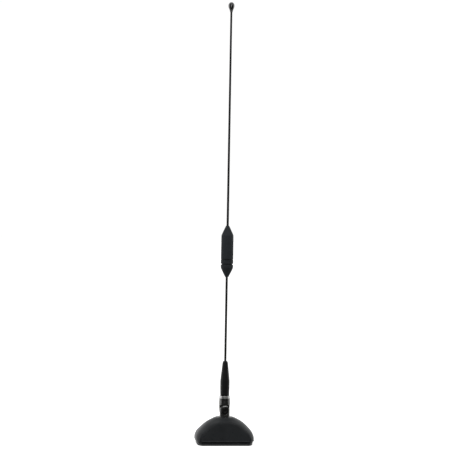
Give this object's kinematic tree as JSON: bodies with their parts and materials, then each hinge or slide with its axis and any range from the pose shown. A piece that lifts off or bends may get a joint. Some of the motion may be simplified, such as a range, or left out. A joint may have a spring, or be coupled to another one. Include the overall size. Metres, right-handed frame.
{
  "type": "on-glass cellular antenna",
  "caption": "Stick-on whip antenna that passively boosts a phone signal through glass: foot, tilting swivel, screw-on whip with mid-whip phasing coil and tip ball.",
  "frame": {"origin": "centre of the adhesive face under the foot, the face that sticks to the glass", "axes": "+Z out of the glass and up the whip when it stands square to the foot, +X along the foot's long side, -Y towards the side the pivot screw is driven from"},
  "size_m": [0.047, 0.03, 0.3545],
  "materials": {
    "foot_plastic": "fine-grained moulded charcoal black",
    "pad_foam": "closed-cell adhesive foam, dark grey",
    "black_rubber": "matte black rubber",
    "black_chrome": "black chrome plating, glossy",
    "black_steel": "black oxide",
    "nickel": "satin nickel, turned",
    "black_coating": "satin black coating over steel",
    "coil_plastic": "moulded satin black",
    "gloss_black": "glossy black",
    "brass": "plain brass",
    "zinc_steel": "zinc plated",
    "copper_wire": "enamelled copper",
    "glass_fibre": "glass-fibre rod"
  },
  "bodies": {
    "foot": {"adhesive_pad": "pad_foam", "coupling_plate": "brass", "base_plate": "foot_plastic", "base_gasket": "black_rubber", "base_housing": "foot_plastic", "cover_screw_front_left": "zinc_steel", "cover_screw_front_right": "zinc_steel", "cover_screw_rear_left": "zinc_steel", "cover_screw_rear_right": "zinc_steel", "swivel_base": "black_chrome", "neck_o_ring": "black_rubber", "stud_washer": "zinc_steel", "stud_nut": "zinc_steel", "contact_spring": "brass", "spring_washer": "zinc_steel", "friction_disc": "black_rubber"},
    "arm": {"swivel_arm": "black_chrome", "pivot_screw": "black_steel", "pivot_nut": "black_steel", "lock_ring": "nickel"},
    "seal": {"ferrule_o_ring": "black_rubber"},
    "whip": {"whip_ferrule": "black_coating", "lower_whip": "black_coating", "coil_lower_cap": "coil_plastic", "coil_seal_ring": "black_rubber", "coil_housing": "coil_plastic", "coil_lower_insert": "brass", "coil_upper_insert": "brass", "coil_former": "glass_fibre", "coil_winding": "copper_wire", "upper_whip": "black_coating", "tip_ball": "gloss_black"}
  },
  "joints": [
    {"name": "swivel_tilt", "type": "hinge", "parent": "foot", "child": "arm", "pos_m": [0, 0, 0.0262], "axis": [0, 1, 0], "range_deg": [-90, 90]},
    {"name": "whip_lift", "type": "slide", "parent": "arm", "child": "seal", "axis": [0, 0, 1], "range_m": [0, 0.007]},
    {"name": "whip_unscrew", "type": "hinge", "parent": "seal", "child": "whip", "pos_m": [0, 0, 0.042], "axis": [0, 0, 1], "range_deg": [0, 3600]}
  ],
  "couplings": [
    {"joint": "whip_unscrew", "follows": "whip_lift", "rad_per_m": 8976}
  ]
}
